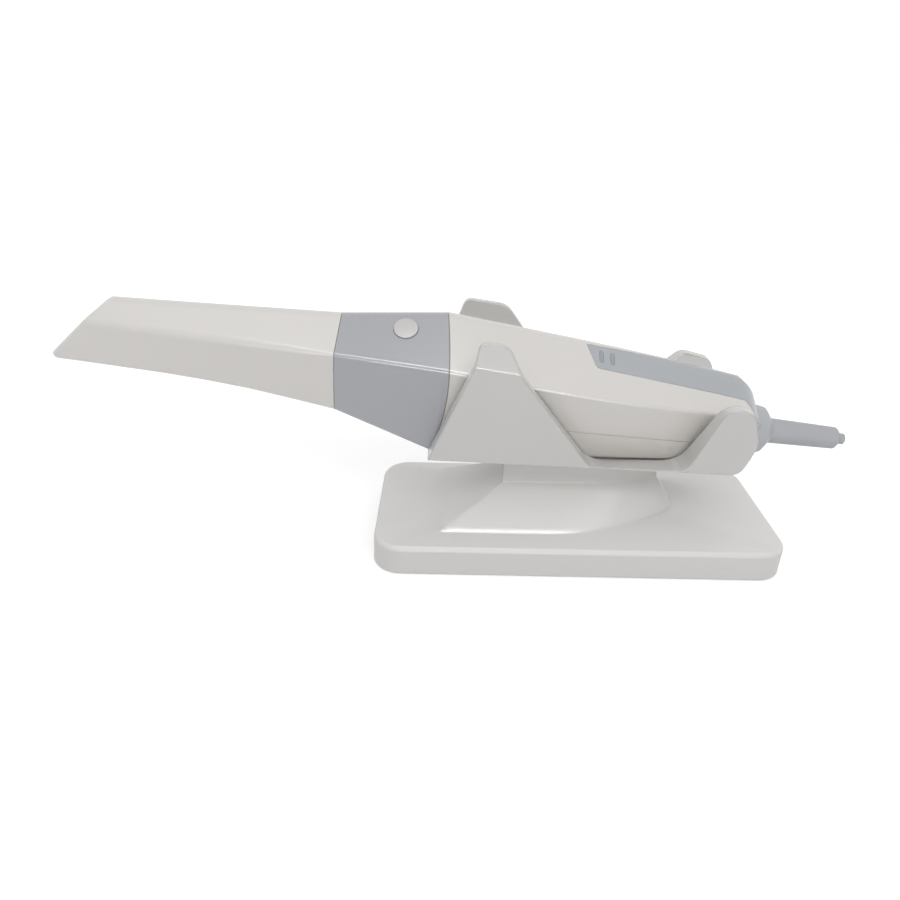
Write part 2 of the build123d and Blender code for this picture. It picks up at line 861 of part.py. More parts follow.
# Cable gland: the stepped ring behind the body, clamped between the two housings
wall_inside = rear_end - housing_wall - barrel_gap
flange_front = wall_inside - gland_flange_thickness
gland_seat = rear_end - lap_depth - seat_gap + barrel_gap
gland_rim = rear_end + gland_length
gland_rear = gland_rim + gland_cone
with BuildPart() as cable_gland:
    add(turned_piece([
        (flange_front, gland_bore),
        (flange_front, gland_flange),
        (wall_inside, gland_flange),
        (wall_inside, gland_neck),
        (gland_seat, gland_neck),
        (gland_seat, gland_radius),
        (gland_rim, gland_rim_radius),
        (gland_rear, relief_radius + seat_gap),
        (gland_rear, gland_bore),
    ]))
cable_gland.part.label = "cable_gland"
export_step(cable_gland.part, "parts/cable_gland.step")

# Strain relief: the tapered grey boot, held by a flange in front of the gland
relief_front = flange_front - barrel_gap - relief_flange_thickness
relief_start = gland_rear + barrel_gap
relief_rear = relief_start + relief_length
with BuildPart() as strain_relief:
    add(turned_piece([
        (relief_front, sleeve_radius + barrel_gap),
        (relief_front, relief_flange),
        (flange_front - barrel_gap, relief_flange),
        (flange_front - barrel_gap, gland_bore - barrel_gap),
        (relief_start, gland_bore - barrel_gap),
        (relief_start, relief_radius),
        (relief_rear - relief_chamfer, relief_end_radius),
        (relief_rear, relief_end_radius - relief_chamfer),
        (relief_rear, sleeve_radius + barrel_gap),
    ]))
strain_relief.part.label = "strain_relief"
export_step(strain_relief.part, "parts/strain_relief.step")

# Cable sleeve: the tube inside the boot that the lead passes through, its end standing out
sleeve_front = relief_front - relief_flange_thickness
sleeve_rear = relief_rear + sleeve_stub
with BuildPart() as cable_sleeve:
    add(turned_piece([
        (sleeve_front, sleeve_bore),
        (sleeve_front, sleeve_radius),
        (sleeve_rear, sleeve_radius),
        (sleeve_rear, sleeve_bore),
    ]))
cable_sleeve.part.label = "cable_sleeve"
export_step(cable_sleeve.part, "parts/cable_sleeve.step")


def trough_size(along, key):
    """A size of the body's section, taken along a straight line from its front to its rear."""
    front = body_stations[0]
    rear = body_stations[-1]
    share = (along - front["along"]) / (rear["along"] - front["along"])
    return front[key] + share * (rear[key] - front[key])


def trough_outline(along, grow):
    """The cradle's outside at a station: foot, leaning side, crease and wing, bigger by grow."""
    foot = trough_size(along, "floor") - trough_gap - trough_wall - grow
    crease = trough_size(along, "crease") + wing_rise
    crease_half = trough_half + wing_wall + grow
    height = reach / 4
    top_half = crease_half - height * math.tan(math.radians(wing_lean))
    with BuildSketch(station(along)) as outline:
        with BuildLine():
            Polyline(
                (cradle_foot_half + grow, foot),
                (crease_half, crease),
                (top_half, crease + height),
                (-top_half, crease + height),
                (-crease_half, crease),
                (-cradle_foot_half - grow, foot),
                close=True,
            )
        make_face()
        rows = outline.vertices().group_by(Axis.Y)
        fillet(rows[1], wing_crease_radius)
        fillet(outline.vertices().group_by(Axis.Y)[0], cradle_foot_radius)
    return outline.sketch


def trough_hollow(along):
    """The inside of the trough at a station, open upwards."""
    floor = trough_size(along, "floor") - trough_gap
    crease = trough_size(along, "crease")
    floor_half = trough_size(along, "floor_half") + trough_gap * 2
    with BuildSketch(station(along)) as outline:
        with BuildLine():
            Polyline(
                (floor_half, floor),
                (trough_half, crease),
                (trough_half, crease + reach / 3),
                (-trough_half, crease + reach / 3),
                (-trough_half, crease),
                (-floor_half, floor),
                close=True,
            )
        make_face()
        fillet(outline.vertices().group_by(Axis.Y)[0], trough_radius)
    return outline.sketch


def cradle_block(grow):
    """The cradle's outside as one solid, bigger by grow."""
    with BuildPart() as block:
        loft([trough_outline(along, grow) for along in (cradle_front, cradle_rear)], ruled=True)
    return block.part


# Cradle: a trough with four wings and two dips, cut from the side, with two screw posts below
with BuildPart() as trough_cutter:
    loft([trough_hollow(along) for along in (cradle_front - 1, cradle_rear + 1)], ruled=True)
post_spots = [(post_front, 0), (post_rear, 0)]
post_bottom = web_level + web_thickness + seat_gap
foot_line = -trough_gap - trough_wall - seat_gap
with BuildPart() as cradle:
    add(cradle_block(0))
    with BuildSketch(side_view) as wing_outline:
        with BuildLine():
            Polyline(
                (lip_along, trough_size(lip_along, "floor") + foot_line),
                (front_wing_front, front_wing_level),
                (front_wing_rear, front_wing_level),
                (wing_knee_along, wing_knee_level),
                (dip_front, trough_size(dip_front, "floor") + dip_rise),
                (dip_rear, trough_size(dip_rear, "floor") + dip_rise),
                (rear_wing_front, rear_wing_level),
                (rear_wing_rear, rear_wing_level),
                (shoulder_along, shoulder_level),
                (cradle_end, cradle_end_level),
                (cradle_end, trough_size(cradle_end, "floor") + foot_line),
                close=True,
            )
        make_face()

        def corner(along, level):
            return wing_outline.vertices().sort_by_distance((along, level))[0]

        fillet([corner(front_wing_front, front_wing_level), corner(front_wing_rear, front_wing_level)], wing_corner)
        fillet([corner(rear_wing_front, rear_wing_level), corner(rear_wing_rear, rear_wing_level)], wing_corner)
        fillet(corner(dip_front, trough_size(dip_front, "floor") + dip_rise), dip_radius)
        fillet(corner(dip_rear, trough_size(dip_rear, "floor") + dip_rise), dip_rear_radius)
        fillet(corner(wing_knee_along, wing_knee_level), dip_radius)
        fillet(corner(shoulder_along, shoulder_level), wing_corner)
        fillet(corner(cradle_end, trough_size(cradle_end, "floor") + foot_line), cradle_end_radius)
    extrude(amount=reach, both=True, mode=Mode.INTERSECT)
    with BuildSketch(Plane.XY.offset(post_bottom)):
        with Locations(*post_spots):
            Circle(post_radius)
    extrude(amount=rest_z - post_bottom)
    add(trough_cutter.part, mode=Mode.SUBTRACT)
    with BuildSketch(Plane.XY.offset(post_bottom)):
        with Locations(*post_spots):
            Circle(neck_screw_radius + barrel_gap)
    extrude(amount=post_bore_depth, mode=Mode.SUBTRACT)
cradle.part.label = "cradle"
export_step(cradle.part, "parts/cradle.step")


def bullet(level, left, centre, right, half, inset):
    """A foot outline: square at its left end and half an ellipse at its right, inset all round."""
    with BuildSketch(Plane.XY.offset(level)) as outline:
        with BuildLine():
            Polyline(
                (centre, half - inset),
                (left + inset, half - inset),
                (left + inset, inset - half),
                (centre, inset - half),
            )
            EllipticalCenterArc((centre, 0), right - inset - centre, half - inset, start_angle=-90, arc_size=180)
        make_face()
    return outline.sketch


# Base shell: a plate with a low hipped roof, from which a pedestal runs up into the neck
roof_inset = base_edge_radius + base_edge * math.tan(math.radians(base_draft))
cavity_top = base_edge - base_wall
with BuildPart() as pedestal:
    loft([
        bullet(base_edge, foot_left, foot_centre, foot_right, foot_half, 0),
        bullet(neck_start, neck_left, neck_centre, neck_right, neck_half, 0),
    ], ruled=True)
    extrude(bullet(neck_start, neck_left, neck_centre, neck_right, neck_half, 0), amount=rest_z - neck_start)
    add(cradle_block(seat_gap), mode=Mode.SUBTRACT)
with BuildPart() as pedestal_hollow:
    loft([
        bullet(cavity_top, foot_left, foot_centre, foot_right, foot_half, base_wall * 2),
        bullet(web_level, neck_left, neck_centre, neck_right, neck_half, 0),
    ], ruled=True)
    extrude(
        bullet(web_level + web_thickness, neck_left, neck_centre, neck_right, neck_half, base_wall),
        amount=rest_z - web_level,
    )
foot_screw_spots = [(x, y) for x in (-foot_screw_x, foot_screw_x) for y in (-foot_screw_y, foot_screw_y)]
cover_top = pad_height + cover_thickness
with BuildPart() as base_shell:
    with BuildSketch(Plane.XY.offset(base_clearance)):
        RectangleRounded(base_length, base_width, base_corner)
    extrude(amount=base_edge - base_clearance, taper=base_draft)
    fillet(base_shell.faces().sort_by(Axis.Z)[-1].edges(), base_edge_radius)
    roof_start = [base_length - roof_inset * 2, base_width - roof_inset * 2]
    with BuildSketch(Plane.XY.offset(base_edge)):
        RectangleRounded(roof_start[0], roof_start[1], base_corner - base_edge_radius)
    with BuildSketch(Plane.XY.offset(base_edge + roof_rise)):
        RectangleRounded(roof_length, roof_width, base_corner - base_edge_radius)
    loft(ruled=True)
    add(pedestal.part)
    with BuildSketch(Plane.XY.offset(base_clearance)):
        RectangleRounded(base_length - base_wall * 2, base_width - base_wall * 2, base_corner - base_wall)
    extrude(amount=cavity_top - base_clearance, mode=Mode.SUBTRACT)
    add(pedestal_hollow.part, mode=Mode.SUBTRACT)
    with BuildSketch(Plane.XY.offset(cover_top + barrel_gap)):
        with Locations(*foot_screw_spots):
            Circle(foot_post_radius)
    extrude(amount=cavity_top - cover_top)
    with BuildSketch(Plane.XY.offset(cover_top)):
        with Locations(*foot_screw_spots):
            Circle(foot_screw_radius + barrel_gap)
    extrude(amount=foot_screw_grip + seat_gap, mode=Mode.SUBTRACT)
    with BuildSketch(Plane.XY.offset(web_level)):
        with Locations(*post_spots):
            Circle(neck_screw_radius + seat_gap)
    extrude(amount=web_thickness, mode=Mode.SUBTRACT)
base_shell.part.label = "base_shell"
export_step(base_shell.part, "parts/base_shell.step")

# Cradle screws: up through the web of the neck into the cradle's posts
with BuildPart() as cradle_screws:
    for x, y in post_spots:
        seat = Plane(origin=(x, y, web_level - barrel_gap))
        shank = web_thickness + post_bore_depth
        add(upright_pin(seat, neck_screw_head_radius, neck_screw_head_height, neck_screw_radius, shank))
cradle_screws.part.label = "cradle_screws"
export_step(cradle_screws.part, "parts/cradle_screws.step")

# Base cover: the plate that closes the base from below
with BuildPart() as base_cover:
    with BuildSketch(Plane.XY.offset(pad_height)):
        RectangleRounded(
            base_length - base_wall * 2 - seat_gap * 2,
            base_width - base_wall * 2 - seat_gap * 2,
            base_corner - base_wall - seat_gap,
        )
        with Locations(*foot_screw_spots):
            Circle(foot_screw_radius + seat_gap, mode=Mode.SUBTRACT)
    extrude(amount=cover_thickness)
base_cover.part.label = "base_cover"
export_step(base_cover.part, "parts/base_cover.step")

# Ballast plate: the steel weight on the cover
with BuildPart() as ballast_plate:
    with BuildSketch(Plane.XY.offset(cover_top + barrel_gap)):
        RectangleRounded(ballast_length, ballast_width, ballast_corner)
    extrude(amount=ballast_height)
ballast_plate.part.label = "ballast_plate"
export_step(ballast_plate.part, "parts/ballast_plate.step")

# Base screws: four short screws that hold the cover to the shell's posts
with BuildPart() as base_screws:
    for x, y in foot_screw_spots:
        seat = Plane(origin=(x, y, pad_height - barrel_gap))
        shank = cover_thickness + foot_screw_grip
        add(upright_pin(seat, foot_screw_head_radius, foot_screw_head_height, foot_screw_radius, shank))
base_screws.part.label = "base_screws"
export_step(base_screws.part, "parts/base_screws.step")

# Base pad: the rubber sheet under the cover that the whole thing stands on
with BuildPart() as base_pad:
    with BuildSketch(Plane.XY):
        RectangleRounded(pad_length, pad_width, pad_corner)
    extrude(amount=pad_height)
base_pad.part.label = "base_pad"
export_step(base_pad.part, "parts/base_pad.step")
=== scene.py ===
import math

import bmesh
import bpy
import numpy as np
from mathutils import Matrix, Vector


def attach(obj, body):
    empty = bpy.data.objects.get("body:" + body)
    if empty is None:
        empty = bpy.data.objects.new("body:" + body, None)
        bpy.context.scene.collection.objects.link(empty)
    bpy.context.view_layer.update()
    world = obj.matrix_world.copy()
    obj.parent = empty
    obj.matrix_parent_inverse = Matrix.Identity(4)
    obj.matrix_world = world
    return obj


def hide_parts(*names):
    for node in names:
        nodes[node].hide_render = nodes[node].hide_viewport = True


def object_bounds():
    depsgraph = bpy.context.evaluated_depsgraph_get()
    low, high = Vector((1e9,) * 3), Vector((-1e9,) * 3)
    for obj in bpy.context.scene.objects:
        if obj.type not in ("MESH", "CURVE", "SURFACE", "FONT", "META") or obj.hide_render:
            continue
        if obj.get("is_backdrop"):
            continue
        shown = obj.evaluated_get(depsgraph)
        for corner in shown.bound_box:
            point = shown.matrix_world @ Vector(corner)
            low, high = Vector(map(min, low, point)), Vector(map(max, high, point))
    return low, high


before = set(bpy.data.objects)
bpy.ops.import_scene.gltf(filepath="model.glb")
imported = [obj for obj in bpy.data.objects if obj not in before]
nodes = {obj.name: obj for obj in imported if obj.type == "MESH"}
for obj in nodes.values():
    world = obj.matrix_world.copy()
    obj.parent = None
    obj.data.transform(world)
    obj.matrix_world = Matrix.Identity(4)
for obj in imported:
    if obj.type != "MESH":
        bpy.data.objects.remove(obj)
low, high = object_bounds()
sizes = {"cadLow": list(low), "cadHigh": list(high)}
print("frame loaded:", len(nodes), "nodes")

mm = 0.001


def linear(code):
    # one sRGB hex value such as "c8c8c8" to linear red, green, blue, alpha
    channels = [int(code[i:i + 2], 16) / 255 for i in (0, 2, 4)]
    curve = [c / 12.92 if c <= 0.04045 else ((c + 0.055) / 1.055) ** 2.4 for c in channels]
    return (*curve, 1.0)


def addNode(tree, kind, values=None, links=None, **settings):
    # one node: its settings, the values of its sockets and what is linked into them
    node = tree.nodes.new(kind)
    for name, value in settings.items():
        setattr(node, name, value)
    for socket, value in (values or {}).items():
        node.inputs[socket].default_value = value
    for socket, source in (links or {}).items():
        tree.links.new(source, node.inputs[socket])
    return node


def newMaterial(name):
    # an empty material with the object's own coordinates, which are metres in the row frame
    material = bpy.data.materials.new(name)
    material.use_nodes = True
    material.node_tree.nodes.clear()
    place = addNode(material.node_tree, "ShaderNodeTexCoord").outputs["Object"]
    return material, material.node_tree, place


def finishMaterial(tree, shader):
    # the shader goes to the surface
    addNode(tree, "ShaderNodeOutputMaterial", links={"Surface": shader.outputs[0]})


# pale and deep are the two ends of a slow change of tone, whose size is cloud; edge is the rounding that
# every moulded edge has; grain is the mould's texture and depth how deep it is. All sizes are in mm, and
# the grain is drawn about ten times coarser than the real one, so that it shows at all
plastics = {
    # polycarbonate from a satin mould, for the autoclave: pale and warm, with a broad dull sheen
    "tipPolycarbonate": dict(
        pale="d6d3d0", deep="d3d0cd", rough=0.34, ior=1.585, grain=0.5, depth=0.004, cloud=30, edge=0.35,
    ),
    # ABS from a finely polished mould: warm white, facets that keep an even tone and a soft line at a crease
    "housingAbs": dict(
        pale="d8d5d1", deep="d5d2ce", rough=0.24, ior=1.54, grain=0.45, depth=0.004, cloud=35, edge=0.5,
    ),
    # through-coloured ABS: cool mid grey with a clear narrow highlight along the crease
    "collarAbs": dict(
        pale="aaabb0", deep="a8a9ae", rough=0.20, ior=1.54, grain=0.45, depth=0.004, cloud=30, edge=0.5,
    ),
    # the same ABS with a slightly duller face: a cool, even grey
    "coverAbs": dict(
        pale="abafb3", deep="a9adb1", rough=0.26, ior=1.54, grain=0.45, depth=0.004, cloud=30, edge=0.3,
    ),
    # moulded silicone: matt and pale, with hardly any highlight
    "buttonSilicone": dict(
        pale="c4c3c1", deep="c1c0be", rough=0.40, ior=1.43, grain=0.3, depth=0.004, cloud=10, edge=0.25,
    ),
    # thick-walled ABS: light grey with rounded rims that catch the light
    "cradleAbs": dict(
        pale="cdccca", deep="cac9c7", rough=0.22, ior=1.54, grain=0.5, depth=0.003, cloud=40, edge=1.0,
    ),
    # ABS, polished on top and satin round its sides: a bright line along the pedestal's foot, none at the
    # rim. Its upright faces get a darker colour, which is painted shade
    "baseAbs": dict(
        pale="e1dfdd", deep="dedcda", rough=0.20, ior=1.54, grain=0.6, depth=0.003, cloud=50, edge=3.0,
        # the satin's tone is painted shade: a darker colour that faces get by how upright they are
        satin=dict(
            top=12.1, blend=0.3, softFrom=12.4, softTo=13.9, crispFrom=21.0, crispTo=25.0,
            rough=0.50, edge=0.3, tone="d0cecc", upright=0.2, level=1.0,
        ),
    ),
    # turned nylon: dull cool grey
    "glandNylon": dict(
        pale="b2b4b8", deep="acaeb2", rough=0.45, ior=1.53, grain=0.4, depth=0.004, cloud=15, edge=0.3,
    ),
    # moulded elastomer: matt grey, a little rough
    "reliefElastomer": dict(
        pale="abadb1", deep="a5a7ab", rough=0.58, ior=1.50, grain=0.35, depth=0.008, cloud=12, edge=0.3,
    ),
    # extruded soft PVC: matt grey
    "sleevePvc": dict(
        pale="a8aaae", deep="a2a4a8", rough=0.52, ior=1.54, grain=0.35, depth=0.006, cloud=12, edge=0.2,
    ),
    # textured ABS: dark grey that swallows light round the optics
    "noseAbs": dict(
        pale="6a6c70", deep="64666a", rough=0.45, ior=1.54, grain=0.4, depth=0.006, cloud=20, edge=0.25,
    ),
    # textured ABS of the underside: dull mid grey
    "coverPlateAbs": dict(
        pale="7c7d80", deep="76777a", rough=0.50, ior=1.54, grain=0.6, depth=0.010, cloud=40, edge=0.3,
    ),
    # pressed rubber: nearly black, with no highlight
    "padRubber": dict(
        pale="2c2c2e", deep="262628", rough=0.80, ior=1.52, grain=0.8, depth=0.030, cloud=25, edge=0.2,
    ),
    # black nylon of a tactile switch: small soft highlights
    "switchNylon": dict(
        pale="1c1c1e", deep="161618", rough=0.40, ior=1.53, grain=0.4, depth=0.004, cloud=8, edge=0.15,
    ),
    # natural nylon of a plug socket: cream and dull
    "socketNylon": dict(
        pale="dcd5bf", deep="d4cdb7", rough=0.45, ior=1.53, grain=0.4, depth=0.004, cloud=10, edge=0.15,
    ),
}


def noise(tree, place, size, detail):
    # a noise whose cells are about size mm across
    scale = 1 / (size * mm)
    return addNode(tree, "ShaderNodeTexNoise", {"Scale": scale, "Detail": detail}, {"Vector": place})


def blend(tree, source, before, after, low, high):
    # low up to before, high from after on, and a straight line in between
    return addNode(
        tree, "ShaderNodeMapRange",
        {"From Min": before, "From Max": after, "To Min": low, "To Max": high}, {"Value": source},
    ).outputs["Result"]


def finelyTextured(tree, place, look, samples, detail):
    # the normal of a face with rounded edges and a fine grain
    grain = noise(tree, place, look["grain"], detail)
    edge = addNode(tree, "ShaderNodeBevel", {"Radius": look["edge"] * mm}, samples=samples)
    bump = addNode(
        tree, "ShaderNodeBump", {"Strength": 1.0, "Distance": look["depth"] * mm},
        {"Height": grain.outputs["Fac"], "Normal": edge.outputs["Normal"]},
    )
    return edge, bump.outputs["Normal"]


def satinSidesAndPaintedShade(tree, place, look, tone, edge, shader):
    # up to its top the satin has crisp edges; above it the faces are polished and their edges soft from
    # softTo on and crisp again from crispTo on. Upright faces are painted darker than level ones, which is
    # painted shade
    satin = look["satin"]
    facing = addNode(tree, "ShaderNodeNewGeometry").outputs["Normal"]
    upward = addNode(tree, "ShaderNodeSeparateXYZ", links={"Vector": facing}).outputs["Z"]
    height = addNode(tree, "ShaderNodeSeparateXYZ", links={"Vector": place}).outputs["Z"]
    # painted shade: the colour goes from the satin tone on upright faces to the plain tone on level ones
    paintedUprightShade = addNode(
        tree, "ShaderNodeMix", {"A": linear(satin["tone"])},
        {"Factor": blend(tree, upward, satin["upright"], satin["level"], 0.0, 1.0), "B": tone},
        data_type="RGBA",
    )
    crisp, soft = satin["edge"] * mm, look["edge"] * mm
    rising = blend(tree, height, satin["softFrom"] * mm, satin["softTo"] * mm, crisp, soft)
    falling = blend(tree, height, satin["crispFrom"] * mm, satin["crispTo"] * mm, soft, crisp)
    radius = addNode(tree, "ShaderNodeMath", links={0: rising, 1: falling}, operation="MINIMUM")
    polish = blend(
        tree, height, (satin["top"] - satin["blend"]) * mm, satin["top"] * mm, satin["rough"], look["rough"],
    )
    tree.links.new(paintedUprightShade.outputs["Result"], shader.inputs["Base Color"])
    tree.links.new(polish, shader.inputs["Roughness"])
    tree.links.new(radius.outputs[0], edge.inputs["Radius"])


def mouldedPlastic(name, look):
    # a moulded surface: an even colour with a faint slow change, the mould's fine texture, and rounded edges
    material, tree, place = newMaterial(name)
    tone = addNode(
        tree, "ShaderNodeMix", {"A": linear(look["deep"]), "B": linear(look["pale"])},
        {"Factor": noise(tree, place, look["cloud"], 2.0).outputs["Fac"]}, data_type="RGBA",
    ).outputs["Result"]
    edge, normal = finelyTextured(tree, place, look, samples=6, detail=3.0)
    shader = addNode(
        tree, "ShaderNodeBsdfPrincipled", {"Roughness": look["rough"], "IOR": look["ior"]},
        {"Base Color": tone, "Normal": normal},
    )
    if "satin" in look:
        satinSidesAndPaintedShade(tree, place, look, tone, edge, shader)
    finishMaterial(tree, shader)
    return material


metals = {
    # steel screws and plates, zinc plated: grey with a broken sheen
    "zincPlatedSteel": dict(tone="b9babb", rough=0.34, grain=0.6, depth=0.004, edge=0.1),
    # bead-blasted and anodised aluminium: nearly black with a satin sheen
    "blackAnodisedAluminium": dict(tone="2a2a2c", rough=0.42, grain=0.3, depth=0.003, edge=0.15),
    # aluminium as extruded: pale and soft
    "extrudedAluminium": dict(tone="d2d3d5", rough=0.38, grain=0.5, depth=0.004, edge=0.1),
    # front-silvered glass: a clear reflection
    "silveredMirror": dict(tone="f2f3f4", rough=0.03, grain=2.0, depth=0.0, edge=0.1),
}


def plainMetal(name, look):
    # a metal part with a fine even finish
    material, tree, place = newMaterial(name)
    edge, normal = finelyTextured(tree, place, look, samples=4, detail=4.0)
    shader = addNode(
        tree, "ShaderNodeBsdfPrincipled",
        {"Base Color": linear(look["tone"]), "Metallic": 1.0, "Roughness": look["rough"]},
        {"Normal": normal},
    )
    finishMaterial(tree, shader)
    return material


# through is the share of light that passes, ripple the size in mm of the polish's faint waves
glasses = {
    # polished and coated pane: clear, with a sharp reflection
    "coatedGlass": dict(tone="e8f2f0", rough=0.02, ior=1.52, through=0.9, ripple=6.0, depth=0.001),
    # polished lens with a bluish coating
    "lensGlass": dict(tone="8f97c8", rough=0.02, ior=1.62, through=0.6, ripple=6.0, depth=0.001),
    # diffusing acrylic over a lamp that is off: a shade darker than the cover round it
    "smokedAcrylic": dict(tone="9b9fa4", rough=0.25, ior=1.49, through=0.0, ripple=6.0, depth=0.001),
}


def clearGlass(name, look):
    # clear or smoked: what isn't let through is the tone itself
    material, tree, place = newMaterial(name)
    bump = addNode(
        tree, "ShaderNodeBump", {"Strength": 1.0, "Distance": look["depth"] * mm},
        {"Height": noise(tree, place, look["ripple"], 1.0).outputs["Fac"]},
    )
    shader = addNode(
        tree, "ShaderNodeBsdfPrincipled",
        {
            "Base Color": linear(look["tone"]), "Roughness": look["rough"],
            "IOR": look["ior"], "Transmission Weight": look["through"],
        },
        {"Normal": bump.outputs["Normal"]},
    )
    finishMaterial(tree, shader)
    return material


# tracks lie pitch mm apart, where a cell's distance from its middle is over edge
board = dict(mask="1c5b36", track="2b7a4a", pitch=2.2, edge=0.42, rough=0.35, ior=1.55)


def circuitBoard(name, look):
    # glass-epoxy laminate under green solder mask, with paler tracks in a square maze
    material, tree, place = newMaterial(name)
    cells = addNode(
        tree, "ShaderNodeTexVoronoi", {"Scale": 1 / (look["pitch"] * mm)}, {"Vector": place},
        distance="MANHATTAN", feature="F1",
    )
    line = addNode(
        tree, "ShaderNodeMath", {1: look["edge"]}, {0: cells.outputs["Distance"]}, operation="GREATER_THAN",
    )
    tone = addNode(
        tree, "ShaderNodeMix", {"A": linear(look["mask"]), "B": linear(look["track"])},
        {"Factor": line.outputs[0]}, data_type="RGBA",
    )
    shader = addNode(
        tree, "ShaderNodeBsdfPrincipled", {"Roughness": look["rough"], "IOR": look["ior"]},
        {"Base Color": tone.outputs["Result"]},
    )
    finishMaterial(tree, shader)
    return material


materials = {name: mouldedPlastic(name, look) for name, look in plastics.items()}
materials |= {name: plainMetal(name, look) for name, look in metals.items()}
materials |= {name: clearGlass(name, look) for name, look in glasses.items()}
materials["circuitBoard"] = circuitBoard("circuitBoard", board)
print("materials made:", len(materials))

finishes = {
    "tip_sleeve": "tipPolycarbonate",
    "tip_mirror": "silveredMirror",
    "optics_nose": "noseAbs",
    "nose_window": "coatedGlass",
    "optical_chassis": "blackAnodisedAluminium",
    "projector_barrel": "blackAnodisedAluminium",
    "camera_barrels": "blackAnodisedAluminium",
    "barrel_lenses": "lensGlass",
    "sensor_board": "circuitBoard",
    "heat_sink": "extrudedAluminium",
    "collar": "collarAbs",
    "scan_button": "buttonSilicone",
    "button_switch": "switchNylon",
    "button_board": "circuitBoard",
    "rear_cover": "coverAbs",
    "indicator_lamps": "smokedAcrylic",
    "upper_housing": "housingAbs",
    "lower_housing": "housingAbs",
    "housing_screws": "zincPlatedSteel",
    "main_board": "circuitBoard",
    "cable_socket": "socketNylon",
    "cable_gland": "glandNylon",
    "strain_relief": "reliefElastomer",
    "cable_sleeve": "sleevePvc",
    "cradle": "cradleAbs",
    "base_shell": "baseAbs",
    "cradle_screws": "zincPlatedSteel",
    "base_cover": "coverPlateAbs",
    "ballast_plate": "zincPlatedSteel",
    "base_screws": "zincPlatedSteel",
    "base_pad": "padRubber",
}
for name, piece in nodes.items():
    piece.data.materials.clear()
    piece.data.materials.append(materials[finishes[name]])
print("finishes given to the CAD nodes")


# every size in mm, in the handset's own lines: along runs from its front end to the lead and level runs up
# from its axis, both tilted. A half is a distance from the middle plane and a rise the change of a level for
# each mm along. A rim corner is (along, level, how far from it the rounding starts)
cradleLook = dict(
    tilt=6.0, seat=(-53.3, 60.9),
    creaseHalf=29.0, creaseLevel=23.7, creaseRise=-0.053, lean=20.0,
    footHalf=21.0, footLevel=-17.4, footRise=0.070,
    keelHalf=9.0, keelLevel=-23.1, keelRise=0.076, toeRadius=4.5,
    wall=4.2, innerDrop=1.0, innerLean=2.0, floorHalf=13.0, floorNarrowing=0.029, floorWall=3.4, leastRim=0.6,
    postSpots=(-16.0, 16.0), postRadius=3.6, postBore=1.6, postBottom=22.8, postTop=38.0,
    nearRim=[
        (-2.7, -17.2, 0.0), (8.7, 23.6, 1.0), (9.2, 30.9, 3.2), (18.9, 30.7, 3.6), (24.2, 21.7, 2.0),
        (57.6, -15.2, 7.0), (90.8, -11.4, 7.0), (93.9, 18.9, 4.5), (103.0, 19.3, 4.5), (110.6, 5.5, 3.0),
        (111.4, -3.0, 0.0),
    ],
    farRim=[
        (-2.7, -17.2, 0.0), (3.5, 21.0, 1.0), (5.6, 29.4, 3.0), (21.8, 28.8, 3.5), (30.2, 19.4, 2.0),
        (60.0, -15.2, 7.0), (86.8, -11.6, 5.0), (89.5, 13.5, 2.0), (95.0, 18.4, 2.5), (106.5, 16.9, 2.0),
        (110.4, 9.0, 2.0), (111.4, -3.0, 0.0),
    ],
    cornerPoints=9, upperRows=6, lowerRows=11, alongStep=1.2, postSides=32, weld=0.02, sharpAngle=22.0,
)


def roundedLine(corners, count):
    # straight runs whose corners are quadratic curves: (1-u)^2 start + 2u(1-u) corner + u^2 end
    points = np.array([c[:2] for c in corners])
    reach = np.array([c[2] for c in corners])
    u = np.linspace(0, 1, count)[:, None]
    line = [points[:1]]
    for before, corner, after, size in zip(points[:-2], points[1:-1], points[2:], reach[1:-1]):
        start = corner + (before - corner) * size / np.linalg.norm(before - corner)
        end = corner + (after - corner) * size / np.linalg.norm(after - corner)
        line.append((1 - u) ** 2 * start + 2 * u * (1 - u) * corner + u ** 2 * end)
    line.append(points[-1:])
    return np.vstack(line)


def meshPiece(name, points, faces, look):
    # a new object with its doubles merged, faces outwards, and smooth shading between sharp edges
    mesh = bpy.data.meshes.new(name)
    mesh.from_pydata((points * mm).tolist(), [], faces.tolist())
    work = bmesh.new()
    work.from_mesh(mesh)
    bmesh.ops.remove_doubles(work, verts=work.verts, dist=look["weld"] * mm)
    bmesh.ops.recalc_face_normals(work, faces=work.faces)
    work.to_mesh(mesh)
    work.free()
    mesh.polygons.foreach_set("use_smooth", np.ones(len(mesh.polygons), dtype=bool))
    mesh.set_sharp_from_angle(angle=math.radians(look["sharpAngle"]))
    piece = bpy.data.objects.new(name, mesh)
    bpy.context.scene.collection.objects.link(piece)
    return piece


def loopFaces(rows, columns, first):
    # quads of a grid whose columns close on themselves; first is the index of its first point
    index = first + np.arange(rows * columns).reshape(rows, columns)
    ahead = np.roll(index, -1, axis=1)
    return np.stack([index[:-1], index[1:], ahead[1:], ahead[:-1]], axis=-1).reshape(-1, 4)


